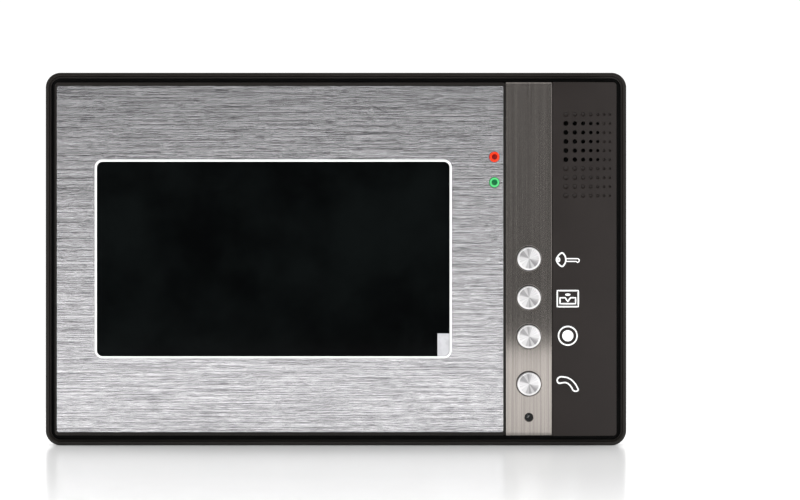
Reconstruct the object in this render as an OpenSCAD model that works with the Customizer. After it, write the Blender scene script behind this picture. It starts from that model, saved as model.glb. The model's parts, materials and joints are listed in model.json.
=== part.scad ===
// Indoor monitor of a video door intercom, on its steel wall bracket.
// Every part is drawn lying on its back: X to the right, Y up the wall, Z from the wall towards the viewer.
// upright() then stands it up, so that the screen faces -Y and the wall plane is Y = 0.

/* [Case] */
// Width of the front frame
frame_w = 254; // [252:0.5:258]
// Height of the front frame
frame_h = 163; // [161:0.5:167]
// Depth of the front frame
frame_d = 12; // [11.5:0.5:13]
// Corner radius of the front frame
frame_r = 6.5; // [5.5:0.5:8]
// Depth of the rear case behind the frame
rear_d = 11.6; // [11.4:0.1:12.5]
// Gap between the rear case and the wall
wall_gap = 2.8; // [2.6:0.1:3.2]
// Width of the slopes round the rear case
slope_w = 15; // [13:0.5:17]

/* [Screen] */
// Visible width of the window
window_w = 154; // [150:0.5:155]
// Visible height of the window
window_h = 85; // [82:0.5:87]
// Distance of the window's middle from the middle of the frame
window_x = -27.4; // [-28.5:0.1:-26.5]

/* [Controls] */
// Diameter of a button's metal cap
button_d = 10.3; // [9:0.1:11]
// How far a button goes in
button_travel = 0.6; // [0.3:0.1:0.7]
// Diameter of a thumbwheel
wheel_d = 16; // [15.6:0.1:16.2]
// Distance from one thumbwheel to the next
wheel_pitch = 17.9; // [17.5:0.1:18.5]

/* [Wall bracket] */
// Distance between the wall screws, across and up
screw_pitch = 60; // [56:1:62]
// Radius of the holes for the wall screws
screw_hole_r = 2.25; // [2:0.05:2.5]
// How far the monitor lifts to come off its hooks
lift = 8; // [7:0.5:8.5]

/* [Hidden] */
$fn = 48;
eps = 0.01;

// Heights above the wall
parting_z = wall_gap + rear_d;
rim_z = parting_z + frame_d;
groove_z = rim_z - 2.4;
deck_z = rim_z + 2;
low_deck_z = rim_z - 1.4;
plate_z = deck_z + 1;
strip_z = plate_z + 0.4;
cap_z = strip_z + 1.6;
lens_z = deck_z - 0.1;
board_z = parting_z + 0.6;
board_t = 1.6;
key_board_z = board_z + 4;
strap_z = board_z + 4.5;

// Walls
wall = 2;
rim_wall = 2.4;
skin = 1.6;

// Rear case
rear_w = frame_w - 8.4;
rear_h = frame_h - 8.4;
rear_slope_z = parting_z - 4.7;
pod_x = rear_w / 2 - slope_w - 1;
pod_y = [-58, 35];
pod_z = wall_gap + 0.5;

// Raised deck and the plates on it
deck_x = [-frame_w / 2 + 4.2, 121.3];
deck_y = 76;
plate_x = [-frame_w / 2 + 5.2, 73];
plate_y = 75.5;
strip_x = [74.1, 94.2];
strip_y = 77.2;
panel_x = [94.4, 122.6];
panel_drop = 2.5;
panel_run = panel_x[1] - panel_x[0];
panel_r = (panel_run * panel_run + panel_drop * panel_drop) / (2 * panel_drop);
step_x = panel_x[0];

// Window
trim = 0.9;
window_r = 2.6;

// Controls
control_x = (strip_x[0] + strip_x[1]) / 2;
button_y = [0.2, -16.8, -33.8, -54.4];
mic_y = -69;
led_x = 69.1;
led_y = [44.5, 33.4];
led_r = 2.4;
stem_r = 3.4;
tact_z = key_board_z + board_t + 3.5;
actuator_z = tact_z + 1;
wheel_z = [parting_z - 4.9, parting_z - 2.9];
wheel_x = rear_w / 2 + 0.4 - wheel_d / 2;
wheel_y = [for (i = [0:3]) 15.5 - i * wheel_pitch];
wheel_slot_h = 11.8;
teeth = 44;

// Speaker and its grille
speaker = [106.4, 51.3];
grille_x0 = 100.3;
grille_y0 = 63.1;
row_pitch = 3.94;

// Electronics
main_board_x = [-28, 119.5];
main_board_y = [-62, 34];
lcd = [165, 100, 5.7];
bay = [42, 14];

// Fasteners
case_screw_at = [for (x = [-112, 0, 112], y = [-71, 71]) [x, y]];
board_screw_at = [[104, 24], [104, -57], [-20, 24], [-20, -40]];
strap_x = [-80, -20];
strap_screw_at = [for (x = strap_x, y = [-56, 56]) [x, y]];
key_screw_at = [[66, 10], [66, -62], [90.5, -44]];

// Rear feet and bracket
foot_at = [for (x = [-92, 92], y = [-51, 51]) [x, y]];
foot_r = 3.85;
bracket_x = 45;
bracket_y = [-43, 56];
bracket_t = 1;
hook_x = 38;
hook_y = [-24, 36];
hook_w = 8;
hook_t = 1.2;
hook_up = 4.5;
hook_z = wall_gap + wall + 0.4;

BUTTONS = ["unlock", "view", "capture", "talk"];
WHEELS = ["brightness", "contrast", "ring_volume", "talk_volume"];
FIXED = [
    "front_case", "metal_plate", "button_strip", "speaker_panel", "window_lens", "window_trim",
    "film_tab", "red_led", "green_led", "tact_switches", "main_board", "key_board",
    "board_link_header", "chips", "capacitors", "inverter_transformer", "door_header_1",
    "door_header_2", "power_header", "lcd_frame", "lcd_glass", "lcd_backlight", "lcd_ribbon",
    "lcd_straps", "speaker_frame", "speaker_cone", "speaker_magnet", "speaker_wires",
    "mic_capsule", "mic_boot", "case_screws", "board_screws", "strap_screws",
    "key_board_screws", "rear_case", "rear_feet", "rating_label", "wall_bracket"
];

// ---- Shapes that repeat ----

module upright() { rotate([90, 0, 0]) children(); }

// Flat outline raised from z0 to z1
module slab(z0, z1) { translate([0, 0, z0]) linear_extrude(z1 - z0) children(); }

// Outline drawn in (y, z), raised along X from x0 to x1
module side_slab(x0, x1) { translate([x0, 0, 0]) rotate([90, 0, 90]) linear_extrude(x1 - x0) children(); }

// Outline drawn in (x, z), raised along Y from y0 to y1
module cross_slab(y0, y1) { translate([0, y1, 0]) rotate([90, 0, 0]) linear_extrude(y1 - y0) children(); }

// Rounded rectangle between two corners
module pane(a, b, r) {
    translate([a.x + r, a.y]) square([b.x - a.x - 2 * r, b.y - a.y]);
    translate([a.x, a.y + r]) square([b.x - a.x, b.y - a.y - 2 * r]);
    for (x = [a.x + r, b.x - r], y = [a.y + r, b.y - r]) translate([x, y]) circle(r);
}

module centred_pane(w, h, r) { pane([-w / 2, -h / 2], [w / 2, h / 2], r); }

module post(at, r, z0, z1) { translate([at.x, at.y, z0]) cylinder(r = r, h = z1 - z0); }

module block(a, b) { translate(a) cube(b - a); }

// Profile swept round a rounded rectangle. The profile's x runs outwards from the corner's centre.
module swept_ring(w, h, r) {
    a = w / 2 - r;
    b = h / 2 - r;
    for (c = [[1, 1, 0], [-1, 1, 90], [-1, -1, 180], [1, -1, 270]])
        translate([c.x * a, c.y * b, 0]) rotate(c.z) rotate_extrude(angle = 90) children();
    for (s = [[a, b, 0, 2 * b], [-a, b, 90, 2 * a], [-a, -b, 180, 2 * b], [a, -b, 270, 2 * a]])
        translate([s[0], s[1], 0]) rotate(s[2]) rotate([90, 0, 0]) linear_extrude(s[3]) children();
}

// Pan-head screw that points to the front, with a cross recess
module screw(at, z, head_r, head_t, length) {
    difference() {
        union() {
            post(at, head_r, z - head_t, z);
            post(at, 1.4, z - eps, z + length);
        }
        for (turn = [0, 90])
            translate([at.x, at.y, z - head_t]) rotate(turn) cube([head_r, 0.7, 1.6], center = true);
    }
}

// ---- Case ----

module rim_profile() {
    edge = 0.9;
    inner = frame_r - rim_wall;
    translate([inner, parting_z]) square([rim_wall, frame_d - edge]);
    translate([inner + edge, parting_z]) square([rim_wall - 2 * edge, frame_d]);
    for (x = [inner + edge, frame_r - edge]) translate([x, rim_z - edge]) circle(edge);
    translate([frame_r - 4.1, parting_z]) square([4.1, wall]);
}

module deck_outline() {
    pane([deck_x[0], -strip_y + 0.2], [strip_x[0], strip_y - 0.2], 2);
    pane([plate_x[1] - 8, -deck_y], [deck_x[1], deck_y], 1);
}

function inner_z(x) = x > step_x - skin ? low_deck_z - skin : deck_z - wall;

module front_shell() {
    swept_ring(frame_w, frame_h, frame_r) rim_profile();
    difference() {
        union() {
            slab(groove_z - 1.8, groove_z) centred_pane(frame_w - 2, frame_h - 2, frame_r - 1);
            slab(groove_z - 1.8, deck_z) deck_outline();
        }
        block([step_x, -80, low_deck_z], [deck_x[1] + 1, 80, deck_z + 1]);
        slab(groove_z - 2, deck_z - wall) pane([deck_x[0] + skin, -74.4], [step_x - skin, 74.4], 2);
        slab(groove_z - 2, low_deck_z - skin) pane([step_x - 8, -74.4], [deck_x[1] - skin, 74.4], 2);
    }
}

module front_bosses() {
    for (p = case_screw_at) post(p, 3.4, parting_z, inner_z(p.x) + 0.5);
    for (i = [0, 1]) post(board_screw_at[i], 3, board_z + board_t, inner_z(step_x) + 0.5);
    for (p = strap_screw_at) post(p, 3, strap_z + 1, inner_z(0) + 0.5);
    for (p = key_screw_at) post(p, 2.8, key_board_z + board_t, inner_z(0) + 0.5);
}

// Marks moulded in the side of the frame, centred, read with the frame's face upwards
module sun_mark() {
    difference() {
        circle(1.3);
        circle(0.9);
    }
    for (k = [0:7]) rotate(k * 45) translate([1.7, -0.2]) square([0.8, 0.4]);
}

module contrast_mark() {
    difference() {
        circle(2.1);
        circle(1.7);
    }
    difference() {
        circle(1.75);
        translate([0, -3]) square([3, 6]);
    }
}

module bell_mark() {
    difference() {
        polygon([[-2.2, -1.5], [-1.2, -0.8], [-0.8, 1.3], [0, 2], [0.8, 1.3], [1.2, -0.8], [2.2, -1.5]]);
        polygon([[-1.2, -1.1], [-0.8, -0.6], [-0.5, 1.1], [0, 1.5], [0.5, 1.1], [0.8, -0.6], [1.2, -1.1]]);
    }
    translate([0, -2.1]) circle(0.4);
}

module loudspeaker_mark() {
    difference() {
        polygon([[-2, -0.7], [-1, -0.7], [0.2, -1.8], [0.2, 1.8], [-1, 0.7], [-2, 0.7]]);
        polygon([[-1.6, -0.3], [-0.8, -0.3], [-0.2, -0.9], [-0.2, 0.9], [-0.8, 0.3], [-1.6, 0.3]]);
    }
    for (r = [1.2, 2.1]) intersection() {
        difference() {
            circle(r);
            circle(r - 0.4);
        }
        translate([0.6, -1.4]) square([2, 2.8]);
    }
}

module side_mark(i) {
    if (i == 0) sun_mark();
    if (i == 1) contrast_mark();
    if (i == 2) bell_mark();
    if (i == 3) loudspeaker_mark();
}

module side_panel_cut() {
    recess = 0.35;
    side_slab(frame_w / 2 - recess, frame_w / 2 + 1)
        pane([wheel_y[3] - 8.4, parting_z - 4], [wheel_y[0] + 4.8, rim_z - 2.3], 3);
}

module side_marks() {
    for (i = [0:3]) {
        mark_y = wheel_y[i] - 2;
        side_slab(frame_w / 2 - 0.6, frame_w / 2 - 0.05) {
            translate([mark_y, parting_z + 4.6]) side_mark(i);
            polygon([[mark_y - 2.4, parting_z + 0.5], [mark_y + 2.4, parting_z + 0.5],
                     [mark_y - 2.4, parting_z + 1.4]]);
        }
    }
}

module front_case() {
    color("#201f1d") difference() {
        union() {
            difference() {
                front_shell();
                side_panel_cut();
            }
            side_marks();
            front_bosses();
        }
        // Pocket for the lens, and the opening behind it
        translate([window_x, 0, 0]) {
            slab(lens_z - 1.4, deck_z + 1) centred_pane(window_w + 4.4, window_h + 4.4, 3.2);
            slab(rim_z - 1, deck_z) centred_pane(window_w + 1, window_h + 1, window_r);
        }
        for (y = button_y) post([control_x, y], stem_r + 0.1, groove_z, deck_z + 1);
        for (y = led_y) post([led_x, y], led_r + 0.15, groove_z, deck_z + 1);
        post([control_x, mic_y], 1.9, groove_z, deck_z + 1);
        post(speaker, 11.5, groove_z - 2, low_deck_z + 1);
        for (p = case_screw_at) post(p, 1.5, parting_z - 1, parting_z + 8);
        for (i = [0, 1]) post(board_screw_at[i], 1.5, board_z, board_z + 7.5);
        for (p = strap_screw_at) post(p, 1.5, strap_z, strap_z + 6.2);
        for (p = key_screw_at) post(p, 1.5, key_board_z, key_board_z + 6.6);
    }
}

// Bevelled tray: straight wall, slopes, then a flat back. t is the distance inside the outer surface.
module rear_form(t, top) {
    gradient = (rear_slope_z - wall_gap) / slope_w;
    lift_t = t * sqrt(1 + gradient * gradient);
    shift = (lift_t - t) / gradient;
    intersection() {
        cross_slab(-rear_h, rear_h) rear_section(rear_w / 2, t, lift_t, shift, gradient, top);
        side_slab(-rear_w, rear_w) rear_section(rear_h / 2, t, lift_t, shift, gradient, top);
        slab(wall_gap - 1, top + 1) centred_pane(rear_w - 2 * t, rear_h - 2 * t, 4.8 - t);
    }
}

module rear_section(half, t, lift_t, shift, gradient, top) {
    side = half - t;
    flat = half - slope_w - shift;
    points = [
        [side, top],
        [side, wall_gap + lift_t + (side - half + slope_w) * gradient],
        [flat, wall_gap + t]
    ];
    polygon(concat(points, [for (i = [2:-1:0]) [-points[i].x, points[i].y]]));
}

module rear_case() {
    top = parting_z + 4;
    well_z = parting_z - 3.9;
    color("#2e2b31") difference() {
        union() {
            difference() {
                union() {
                    rear_form(0, top);
                    slab(pod_z, parting_z) pane([pod_x, pod_y[0]], [rear_w / 2, pod_y[1]], 0.8);
                }
                rear_form(wall, top + 1);
                slab(pod_z + wall, top + 1)
                    pane([pod_x - 5, pod_y[0] + wall], [rear_w / 2 - wall, pod_y[1] - wall], 0.8);
            }
            intersection() {
                rear_form(0.1, parting_z - 0.1);
                for (p = case_screw_at) post(p, 4.6, wall_gap, parting_z - 0.1);
            }
        }
        for (p = case_screw_at) {
            post(p, 3.4, wall_gap - 1, well_z);
            post(p, 1.7, wall_gap - 1, parting_z + 1);
        }
        for (y = wheel_y)
            side_slab(rear_w / 2 - 2 * wall, rear_w / 2 + 1)
                translate([y, (wheel_z[0] + wheel_z[1]) / 2]) centred_pane(wheel_slot_h, 2.45, 0.6);
        // Slots that drop over the bracket's hooks
        for (x = [-hook_x, hook_x], y = hook_y)
            slab(wall_gap - 1, wall_gap + 3)
                pane([x - hook_w / 2 - 0.5, y - lift - 3.1], [x + hook_w / 2 + 0.5, y + 0.1], 0.4);
        // Window for the plugs of the door cables
        slab(wall_gap - 1, wall_gap + 3) centred_pane(bay[0], bay[1], 1.5);
        for (p = foot_at) post(p, 1.7, wall_gap - 1, wall_gap + 3);
        // Vents
        for (i = [0:8], s = [-1, 1])
            slab(wall_gap - 1, wall_gap + 3) translate([s * (58 + i * 4), 22]) centred_pane(1.8, 22, 0.85);
        // Shallow bed for the label
        slab(wall_gap - 1, wall_gap + 0.3) translate([-74, -30]) centred_pane(50.4, 26.4, 1);
    }
}

module rating_label() {
    color("silver") slab(wall_gap + 0.1, wall_gap + 0.28) translate([-74, -30]) centred_pane(50, 26, 0.9);
}

module rear_feet() {
    dome_h = wall_gap - 0.1;
    dome_r = (foot_r * foot_r + dome_h * dome_h) / (2 * dome_h);
    color("#3a3a3c") for (p = foot_at) {
        intersection() {
            translate([p.x, p.y, dome_r + 0.1]) sphere(dome_r);
            post(p, foot_r + 1, 0, wall_gap - 0.01);
        }
        post(p, 1.6, wall_gap - 0.5, wall_gap + 1.8);
    }
}

// ---- Front plates ----

module metal_plate() {
    color("silver") difference() {
        slab(deck_z, plate_z) pane([plate_x[0], -plate_y], [plate_x[1], plate_y], 0.8);
        slab(deck_z - 1, plate_z + 1) translate([window_x, 0])
            centred_pane(window_w + 2 * trim + 0.1, window_h + 2 * trim + 0.1, window_r + trim);
        for (y = led_y) post([led_x, y], led_r + 0.1, deck_z - 1, plate_z + 1);
    }
}

module button_strip() {
    bend = 1.6;
    metal = 1;
    color("#6f6a64") difference() {
        side_slab(strip_x[0], strip_x[1]) difference() {
            union() {
                pane([-strip_y, groove_z + 1], [strip_y, strip_z], bend);
                translate([-strip_y, groove_z + 0.4]) square([2 * strip_y, 3]);
            }
            translate([-strip_y + metal, groove_z]) square([2 * (strip_y - metal), deck_z - groove_z]);
        }
        for (y = button_y) post([control_x, y], button_d / 2 + 0.25, deck_z - 1, strip_z + 1);
        post([control_x, mic_y], 1.8, deck_z - 1, strip_z + 1);
    }
}

// Height of the speaker panel's curved face
function panel_z(x) = plate_z + 0.2 - panel_r + sqrt(panel_r ^ 2 - (x - panel_x[0]) ^ 2);

module panel_body(r, x1, y, z0) {
    intersection() {
        cross_slab(-y, y) intersection() {
            translate([panel_x[0], plate_z + 0.2 - panel_r]) circle(r, $fn = 360);
            translate([panel_x[0], z0]) square([x1 + 1 - panel_x[0], 10]);
        }
        slab(z0 - 1, plate_z + 1) pane([panel_x[0] - 10, -y], [x1, y], 1.4);
    }
}

function grille_x(i) = grille_x0 + 4.06 * i - 0.14 * i * i;
function grille_r(i) = 1.1 - 0.095 * i;
function goes_through(i, j) = i < 5 && j > 0 && j < 6;

module speaker_panel() {
    panel_wall = 1.8;
    dimple = 0.5;
    color("#3a3735") difference() {
        panel_body(panel_r, panel_x[1], strip_y, groove_z + 0.4);
        translate([-eps, 0, -eps])
            panel_body(panel_r - panel_wall, panel_x[1] - 1.2, deck_y + 0.05, groove_z - 1);
        for (i = [0:6], j = [0:9])
            post([grille_x(i), grille_y0 - j * row_pitch], grille_r(i),
                 goes_through(i, j) ? low_deck_z : panel_z(grille_x(i)) - dimple, plate_z + 1);
    }
}

module window_trim() {
    color("white") translate([window_x, 0, 0]) slab(deck_z, plate_z + 0.1) difference() {
        centred_pane(window_w + 2 * trim, window_h + 2 * trim, window_r + trim);
        centred_pane(window_w, window_h, window_r);
    }
}

module window_lens() {
    color("#050607") slab(lens_z - 1.3, lens_z) translate([window_x, 0])
        centred_pane(window_w + 4, window_h + 4, 3);
}

module film_tab() {
    right = window_x + window_w / 2 - 0.1;
    low = -window_h / 2 + 0.1;
    color("gainsboro") slab(lens_z, lens_z + 0.12) difference() {
        translate([right - 5.2, low]) square([5.2, 9.9]);
        difference() {
            translate([right - window_r, low - 1]) square([window_r + 1, window_r + 1]);
            translate([right - window_r, low + window_r]) circle(window_r);
            translate([right - window_r - 1, low + window_r]) square([window_r + 2, 1]);
        }
    }
}

// ---- Controls ----

module button_cap(y) {
    r = button_d / 2;
    chamfer = 0.4;
    back = strip_z - button_travel;
    color("#d8d8da") translate([control_x, y, 0]) rotate_extrude() difference() {
        polygon([[0, back], [r, back], [r, cap_z - chamfer], [r - chamfer, cap_z], [0, cap_z]]);
        translate([0, back - 1]) square([2.5, 2.2]);
    }
}

module button_stem(y) {
    at = [control_x, y];
    color("white") {
        post(at, 2.45, strip_z - button_travel - eps, strip_z - button_travel + 1.15);
        post(at, stem_r, deck_z - wall - 0.1, strip_z - button_travel);
        post(at, 4.6, deck_z - wall - 1.1, deck_z - wall - 0.1 + eps);
        post(at, 1.5, actuator_z, deck_z - wall - 1.1 + eps);
    }
}

module tact_actuator(y) { color("#222222") post([control_x, y], 1.7, tact_z - 0.6, actuator_z); }

module tact_switches() {
    color("#303030") for (y = button_y) difference() {
        translate([control_x, y, key_board_z + board_t]) slab(0, 3.5) centred_pane(6, 6, 0.5);
        post([control_x, y], 1.8, tact_z - 1.6, tact_z + 1);
    }
}

module led(y) {
    at = [led_x, y];
    dome_z = plate_z + 0.15;
    post(at, led_r, dome_z - 5, dome_z);
    translate([at.x, at.y, dome_z]) sphere(led_r);
    post(at, 2.85, dome_z - 6, dome_z - 5 + eps);
    for (x = [-1.27, 1.27]) post(at + [x, 0], 0.25, key_board_z - 1, dome_z - 6 + eps);
}

module red_led() { color("red") led(led_y[0]); }

module green_led() { color("limegreen") led(led_y[1]); }

module mic_boot() {
    at = [control_x, mic_y];
    floor_z = key_board_z + board_t + 0.1;
    color("#151515") difference() {
        union() {
            post(at, 1.75, deck_z - 3, strip_z - 0.5);
            post(at, 4.3, floor_z, deck_z - wall - 0.1);
        }
        post(at, 3.05, floor_z - 1, floor_z + 4);
        post(at, 0.7, floor_z, strip_z);
    }
}

module mic_capsule() {
    floor_z = key_board_z + board_t + 0.2;
    color("silver") post([control_x, mic_y], 3, floor_z, floor_z + 2.7);
    color("silver") for (x = [-1.3, 1.3])
        post([control_x + x, mic_y], 0.3, key_board_z - 0.8, floor_z + eps);
}

function knurl(n, r, depth) = [for (i = [0:2 * n - 1])
    let (a = i * 180 / n, k = i % 2 == 0 ? r : r - depth) [k * cos(a), k * sin(a)]];

module thumbwheel(y) {
    color("#0e0e0f") translate([wheel_x, y, 0]) difference() {
        union() {
            slab(wheel_z[0], wheel_z[1]) polygon(knurl(teeth, wheel_d / 2, 0.45));
            post([0, 0], 3, wheel_z[1] - eps, wheel_z[1] + 0.7);
        }
        post([0, 0], 1.55, wheel_z[0] - 1, wheel_z[1] + 2);
        // Index notch
        post([0, 5], 0.7, wheel_z[0] - 1, wheel_z[0] + 0.6);
    }
}

module pot(y) {
    at = [wheel_x, y];
    color("#5b4630") {
        translate([at.x, at.y, 0]) slab(wheel_z[1] + 0.9, board_z) centred_pane(9.6, 9.6, 1);
        post(at, 1.5, wheel_z[0] - 0.2, wheel_z[1] + 1);
        post(at, 2.4, wheel_z[0] - 0.8, wheel_z[0] - 0.15);
    }
}

// ---- Electronics ----

module main_board() {
    color("darkgreen") slab(board_z, board_z + board_t) difference() {
        pane([main_board_x[0], main_board_y[0]], [main_board_x[1], main_board_y[1]], 1.5);
        for (p = board_screw_at) translate(p) circle(1.6);
        // Corner cut away round the case screw
        translate([112, -71]) circle(11);
    }
}

module key_board() {
    color("darkgreen") slab(key_board_z, key_board_z + board_t) difference() {
        pane([62, -74.2], [94, 50], 1);
        for (p = key_screw_at) translate(p) circle(1.6);
        for (y = led_y, x = [-1.27, 1.27]) translate([led_x + x, y]) circle(0.35);
        for (x = [-1.3, 1.3]) translate([control_x + x, mic_y]) circle(0.4);
    }
}

module board_link_header() {
    color("#111111") block([70, -12, board_z + board_t], [90, -7, key_board_z]);
}

module chip(at, size, legs) {
    translate([at.x, at.y, board_z]) {
        slab(-1.5, -0.2) centred_pane(size.x, size.y, 0.4);
        for (i = [0:legs - 1], s = [-1, 1])
            translate([(i - (legs - 1) / 2) * size.x / legs, s * (size.y / 2 + 0.4), -0.4])
                cube([size.x / legs / 2.2, 1.4, 0.8], center = true);
    }
}

module chips() {
    color("#141414") {
        chip([20, -32], [14, 14], 8);
        chip([52, -28], [10, 10], 6);
        chip([46, 18], [12, 6], 7);
        chip([78, 20], [9, 5], 5);
    }
}

module capacitors() {
    // Place and radius of each can
    cans = [
        [66, -30, 4], [66, -42, 4], [80, -52, 3.2], [34, -50, 3.2], [28, 22, 3.2],
        [92, 4, 2.6], [92, -12, 2.6]
    ];
    color("#1d2a4a") for (c = cans) difference() {
        post(c, c[2], board_z - 1.8 * c[2] - 0.6, board_z);
        for (turn = [0, 90]) translate([c.x, c.y, board_z - 1.8 * c[2] - 0.6]) rotate(turn)
            cube([1.4 * c[2], 0.4, 0.5], center = true);
    }
}

module inverter_transformer() {
    color("goldenrod") {
        block([4, -54, board_z - 2], [20, -42, board_z]);
        block([6, -52, board_z - 6.5], [18, -44, board_z - 2 + eps]);
    }
}

// Pin header with a locking wall behind its pins
module pin_header(x, pins) {
    pitch = 2.5;
    length = pins * pitch + 1;
    color("white") {
        block([x - length / 2, -3.5, board_z - 3], [x + length / 2, 2.5, board_z]);
        block([x - length / 2, -3.5, board_z - 7], [x + length / 2, -2.5, board_z - 3 + eps]);
    }
    color("gold") for (i = [0:pins - 1])
        translate([x + (i - (pins - 1) / 2) * pitch, 0, board_z - 5.5])
            cube([0.64, 0.64, 5.2], center = true);
}

module door_header_1() { pin_header(-13.5, 4); }

module door_header_2() { pin_header(0, 4); }

module power_header() { pin_header(12, 2); }

module in_lcd() { translate([window_x, 0, 0]) children(); }

module lcd_frame() {
    front = deck_z - wall - 0.1;
    lip = 3.5;
    color("silver") in_lcd() difference() {
        slab(front - lcd.z, front) centred_pane(lcd.x, lcd.y, 1);
        slab(front - lcd.z + 0.4, front - 0.4) centred_pane(lcd.x - 0.8, lcd.y - 0.8, 0.8);
        slab(front - 1, front + 1) centred_pane(lcd.x - 2 * lip, lcd.y - 2 * lip, 0.5);
    }
}

module lcd_glass() {
    front = deck_z - wall - 0.6;
    color("#0b0d12") in_lcd() slab(front - 1.8, front) centred_pane(lcd.x - 1.2, lcd.y - 1.2, 0.5);
}

module lcd_backlight() {
    front = deck_z - wall - 2.5;
    color("whitesmoke") in_lcd() slab(front - 2.7, front) centred_pane(lcd.x - 1.2, lcd.y - 1.2, 0.5);
}

// Flat flex cable in an S from the back of the display to the front of the main board
module lcd_ribbon() {
    z0 = board_z + board_t + 0.15;
    z1 = deck_z - wall - 0.1 - lcd.z - 0.15;
    steps = 12;
    line = [for (i = [0:steps]) [-20 - 16 * i / steps, z0 + (z1 - z0) * (1 - cos(180 * i / steps)) / 2]];
    color("#b5762a") side_slab(4, 28)
        polygon(concat([for (p = line) p + [0, -0.1]], [for (i = [steps:-1:0]) line[i] + [0, 0.1]]));
}

module lcd_straps() {
    color("silver") for (x = strap_x) difference() {
        union() {
            slab(strap_z, strap_z + 1) pane([x - 4, -60], [x + 4, 60], 2);
            if (x == strap_x[1])
                for (i = [2, 3]) post(board_screw_at[i], 2.6, board_z + board_t, strap_z + eps);
        }
        for (y = [-56, 56]) post([x, y], 1.6, strap_z - 1, strap_z + 2);
        if (x == strap_x[1])
            for (i = [2, 3]) post(board_screw_at[i], 1.5, board_z, strap_z + 2);
    }
}

module speaker_frame() {
    front = low_deck_z - skin - 0.1;
    color("#777777") translate([speaker.x, speaker.y, 0]) rotate_extrude()
        polygon([[12, front], [13, front], [13, front - 1.4], [9, front - 4.4], [7.6, front - 4.4],
                 [7.6, front - 3.6], [12, front - 1.2]]);
}

module speaker_cone() {
    front = low_deck_z - skin - 0.5;
    color("#2a2a2a") translate([speaker.x, speaker.y, 0]) rotate_extrude()
        polygon([[0, front - 1.6], [4, front - 2.4], [11.8, front], [11.8, front - 0.3], [4, front - 2.8],
                 [0, front - 2]]);
}

module speaker_magnet() {
    front = low_deck_z - skin - 4.6;
    color("#8a8a8c") {
        post(speaker, 8, front - 2.2, front);
        post(speaker, 6.6, front - 3, front - 2.2 + eps);
    }
}

module speaker_wires() {
    z0 = board_z + board_t + 0.7;
    color("#c02020") for (s = [-1, 1]) {
        line = [
            [speaker.x + 2 * s, 40.2, z0 + 2.5], [speaker.x + 1 + 3 * s, 35, z0 + 2.2],
            [speaker.x + 2.5 + 3 * s, 31, z0 + 1.2], [speaker.x + 4.2 + 2.4 * s, 28.5, z0 + 0.3],
            [speaker.x + 5.4 + 1.5 * s, 26, z0], [speaker.x + 5.6 + 1.4 * s, 22, z0]
        ];
        for (i = [0:len(line) - 2]) hull() {
            translate(line[i]) sphere(0.5, $fn = 10);
            translate(line[i + 1]) sphere(0.5, $fn = 10);
        }
    }
}

// ---- Fasteners ----

module case_screws() { color("#444444") for (p = case_screw_at) screw(p, parting_z - 3.9, 2.9, 2, 11); }

module board_screws() { color("silver") for (p = board_screw_at) screw(p, board_z, 2.6, 1.6, 4.4); }

module strap_screws() { color("silver") for (p = strap_screw_at) screw(p, strap_z, 2.6, 1.6, 5.4); }

module key_board_screws() { color("silver") for (p = key_screw_at) screw(p, key_board_z, 2.6, 1.6, 6); }

// ---- Wall bracket ----

module bracket_flange(x, y0, y1) {
    height = wall_gap - 0.3;
    side_slab(x, x + bracket_t)
        polygon([[y0, 0], [y1, 0], [y1, height - 1], [y1 - 1, height], [y0 + 3, height],
                 [y0, height - 1.5]]);
}

module wall_bracket() {
    color("#26282a") difference() {
        union() {
            slab(0, bracket_t) pane([-bracket_x, bracket_y[0]], [bracket_x, bracket_y[1]], 3);
            for (x = [-bracket_x, bracket_x - bracket_t]) {
                bracket_flange(x, 43, 52);
                bracket_flange(x, -18, 37);
                bracket_flange(x, -38, -22);
            }
            for (x = [-hook_x, hook_x], y = hook_y) side_slab(x - hook_w / 2, x + hook_w / 2) {
                translate([y - hook_t, 0]) square([hook_t, hook_z + hook_t]);
                polygon([[y - hook_t, hook_z], [y + hook_up, hook_z], [y + hook_up, hook_z + 0.4],
                         [y + hook_up - 0.8, hook_z + hook_t], [y - hook_t, hook_z + hook_t]]);
            }
        }
        // Cable window
        slab(-1, 3) centred_pane(44, 36, 3);
        // Holes that the hooks were bent out of
        for (x = [-hook_x, hook_x], y = hook_y)
            block([x - hook_w / 2 - 0.2, y, -1], [x + hook_w / 2 + 0.2, y + 9.5, 2]);
        for (x = [-1, 1], y = [-1, 1])
            post([x, y] * screw_pitch / 2, screw_hole_r, -1, bracket_t + 1);
    }
}

// ---- Nodes ----

upright() {
    front_case();
    metal_plate();
    button_strip();
    speaker_panel();
    window_lens();
    window_trim();
    film_tab();
    red_led();
    green_led();
    tact_switches();
    main_board();
    key_board();
    board_link_header();
    chips();
    capacitors();
    inverter_transformer();
    door_header_1();
    door_header_2();
    power_header();
    lcd_frame();
    lcd_glass();
    lcd_backlight();
    lcd_ribbon();
    lcd_straps();
    speaker_frame();
    speaker_cone();
    speaker_magnet();
    speaker_wires();
    mic_capsule();
    mic_boot();
    case_screws();
    board_screws();
    strap_screws();
    key_board_screws();
    rear_case();
    rear_feet();
    rating_label();
    wall_bracket();
    for (i = [0:3]) {
        button_cap(button_y[i]);
        button_stem(button_y[i]);
        tact_actuator(button_y[i]);
        thumbwheel(wheel_y[i]);
        pot(wheel_y[i]);
    }
}
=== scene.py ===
import json
import math

import bmesh
import bpy
from mathutils import Matrix, Vector

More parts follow.
